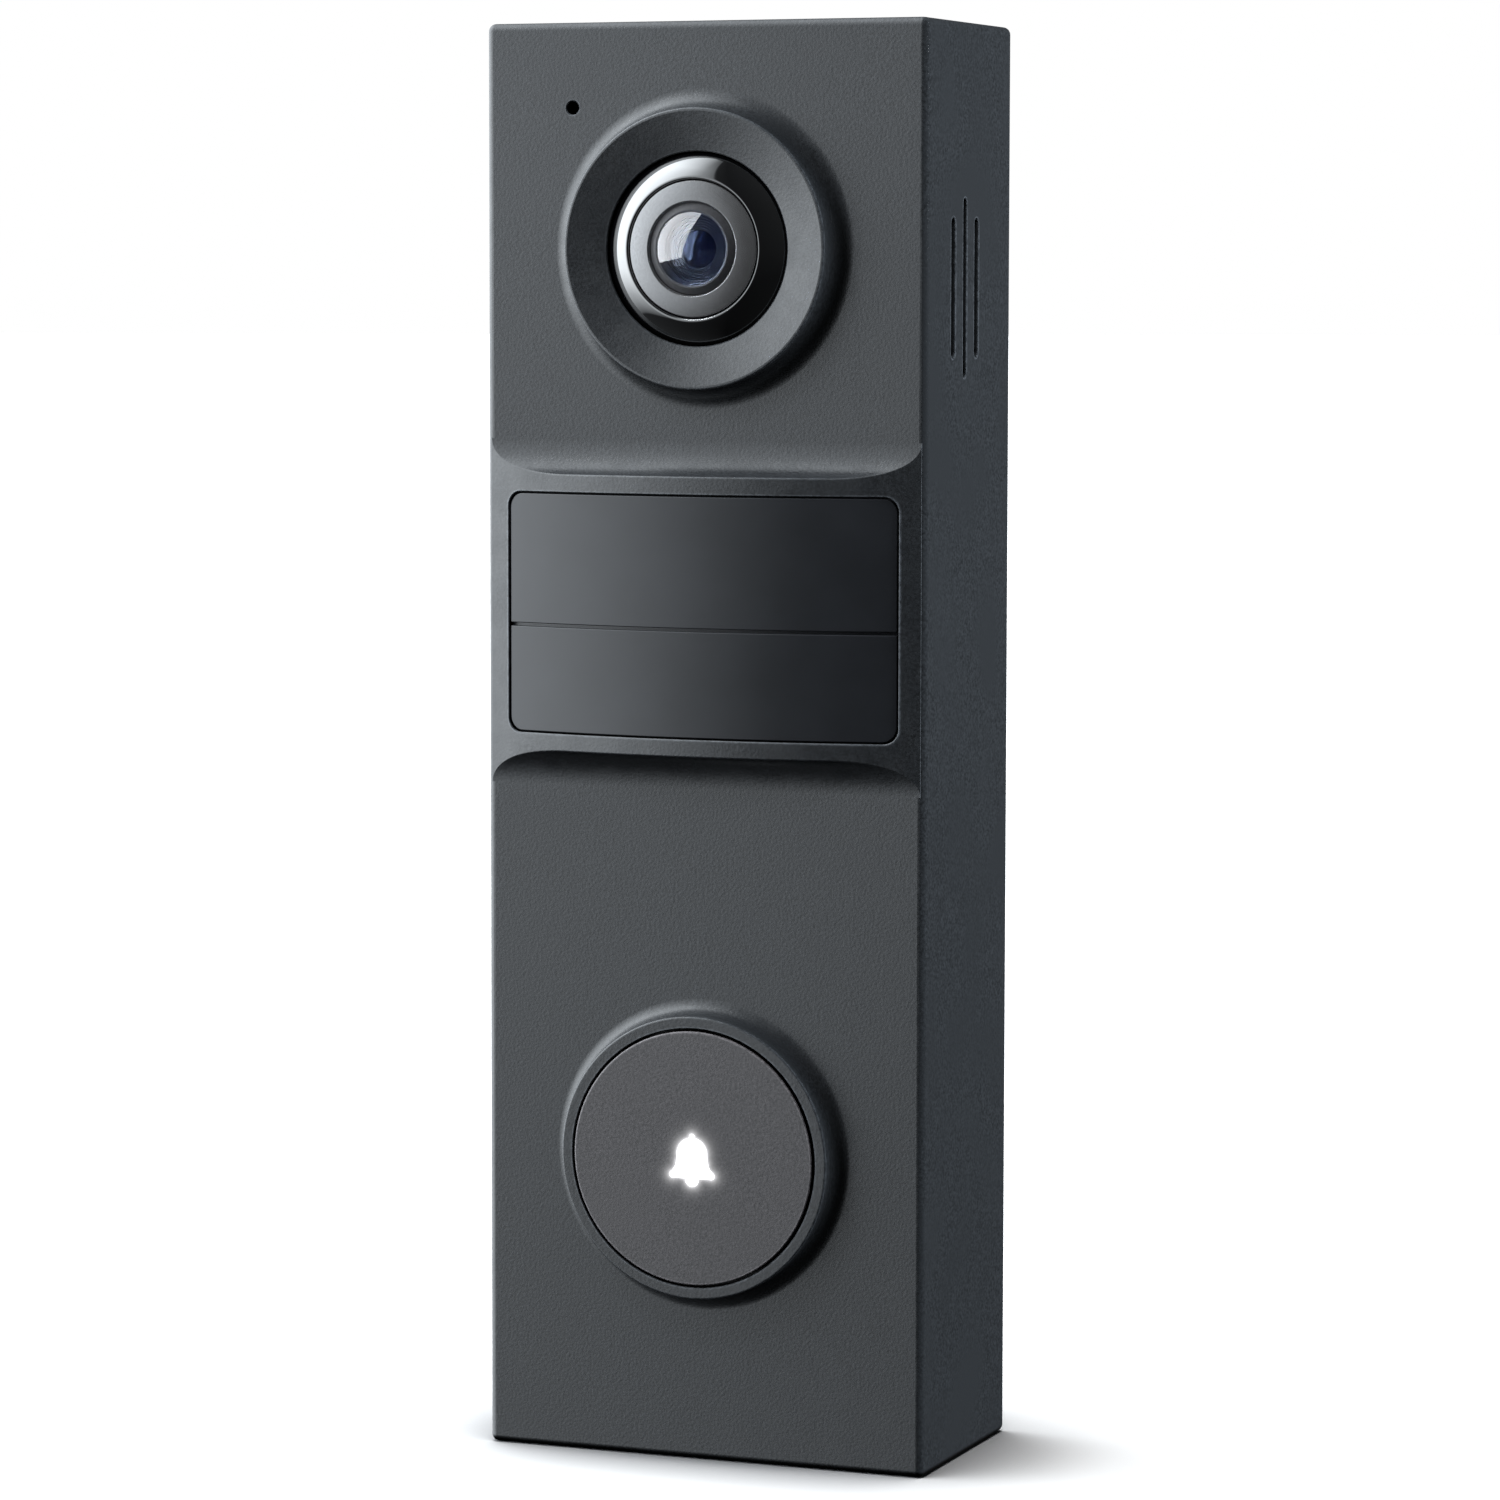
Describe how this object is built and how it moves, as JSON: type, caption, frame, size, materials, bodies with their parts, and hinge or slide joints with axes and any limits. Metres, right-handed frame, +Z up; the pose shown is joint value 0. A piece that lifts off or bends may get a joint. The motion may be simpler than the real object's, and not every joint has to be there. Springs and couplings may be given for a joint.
{
  "type": "video doorbell",
  "caption": "Slim upright video doorbell with a ringed camera, a curved sensor window, a lit bell push button, side speaker slots and a slide-on wall bracket.",
  "frame": {"origin": "centre of the bounding box's base, on the flat bottom that the doorbell stands on", "axes": "+Z up along the doorbell's height, -Y out of the front with the camera and button, +X towards the side with the speaker slots"},
  "size_m": [0.049, 0.0304, 0.15],
  "materials": {
    "housing_plastic": "moulded, fine spark-eroded texture, satin",
    "button_plastic": "moulded, fine texture, slightly warm grey",
    "gloss_black": "polished",
    "satin_ring": "satin painted",
    "barrel_black": "fine threaded, blackened",
    "lens_glass": "coated optical glass",
    "window_black": "polished infrared-clear dark plastic",
    "icon_diffuser": "translucent white, lit from behind",
    "seal_rubber": "moulded silicone",
    "board_green": "solder mask",
    "flex_amber": "polyimide film",
    "chip_black": "moulded package",
    "tin_steel": "tinned sheet",
    "screw_steel": "blackened zinc",
    "terminal_brass": "plain",
    "coil_copper": "enamelled wire",
    "cell_sleeve": "shrink sleeve",
    "led_clear": "clear epoxy",
    "white_plastic": "plain moulding",
    "lead_insulation": "silicone wire",
    "speaker_film": "polyester film",
    "mesh_black": "woven acoustic mesh",
    "filter_glass": "infrared-cut coated glass",
    "bracket_plastic": "moulded, plain"
  },
  "bodies": {
    "housing": {"front_housing": "housing_plastic", "lens_surround": "gloss_black", "lens_bezel": "satin_ring", "front_lens": "lens_glass", "inner_lenses": "lens_glass", "lens_barrel": "barrel_black", "lens_holder": "chip_black", "ir_cut_coil": "coil_copper", "image_sensor": "chip_black", "camera_board": "board_green", "lens_seal": "seal_rubber", "pir_window": "window_black", "ir_window": "window_black", "window_gasket": "seal_rubber", "pir_sensor": "tin_steel", "ir_leds": "led_clear", "light_sensor": "led_clear", "sensor_board": "board_green", "mic_mesh": "mesh_black", "mic_boot": "seal_rubber", "microphone": "tin_steel", "speaker_frame": "chip_black", "speaker_cone": "speaker_film", "speaker_magnet": "tin_steel", "speaker_gasket": "seal_rubber", "speaker_mesh": "mesh_black", "main_board": "board_green", "shield_can": "tin_steel", "board_chips": "chip_black", "usb_port": "tin_steel", "memory_card_slot": "tin_steel", "reset_switch": "chip_black", "wifi_antenna": "terminal_brass", "button_seal": "seal_rubber", "dome_switch": "tin_steel", "button_board": "board_green", "icon_led": "led_clear", "battery_cell_left": "cell_sleeve", "battery_cell_right": "cell_sleeve", "battery_tray": "chip_black", "battery_straps": "tin_steel", "battery_board": "board_green", "battery_connector": "white_plastic", "sensor_flex": "flex_amber", "camera_flex": "flex_amber", "button_flex": "flex_amber", "battery_leads": "lead_insulation", "back_cover": "bracket_plastic", "housing_seal": "seal_rubber", "cover_screws": "screw_steel", "board_screws": "tin_steel", "terminal_block": "chip_black", "terminal_screws": "terminal_brass", "security_screw": "screw_steel"},
    "button": {"button_cap": "button_plastic", "bell_icon": "icon_diffuser"},
    "reset": {"reset_button": "white_plastic"},
    "port_flap": {"port_cover": "seal_rubber"},
    "bracket": {"wall_bracket": "bracket_plastic"},
    "filter": {"ir_cut_filter": "filter_glass"}
  },
  "joints": [
    {"name": "button_press", "type": "slide", "parent": "housing", "child": "button", "axis": [0, 1, 0], "range_m": [0, 0.0008], "stiffness_N_per_m": 3000, "springref_m": -0.0002},
    {"name": "reset_press", "type": "slide", "parent": "housing", "child": "reset", "axis": [0, -1, 0], "range_m": [0, 0.0004], "stiffness_N_per_m": 1500, "springref_m": -0.0002},
    {"name": "port_flap_hinge", "type": "hinge", "parent": "housing", "child": "port_flap", "pos_m": [0, 0.0127, 0.0826], "axis": [-1, 0, 0], "range_deg": [0, 100]},
    {"name": "bracket_slide", "type": "slide", "parent": "housing", "child": "bracket", "axis": [0, 0, -1], "range_m": [0, 0.008]},
    {"name": "filter_shift", "type": "slide", "parent": "housing", "child": "filter", "axis": [1, 0, 0], "range_m": [0, 0.0048]}
  ]
}
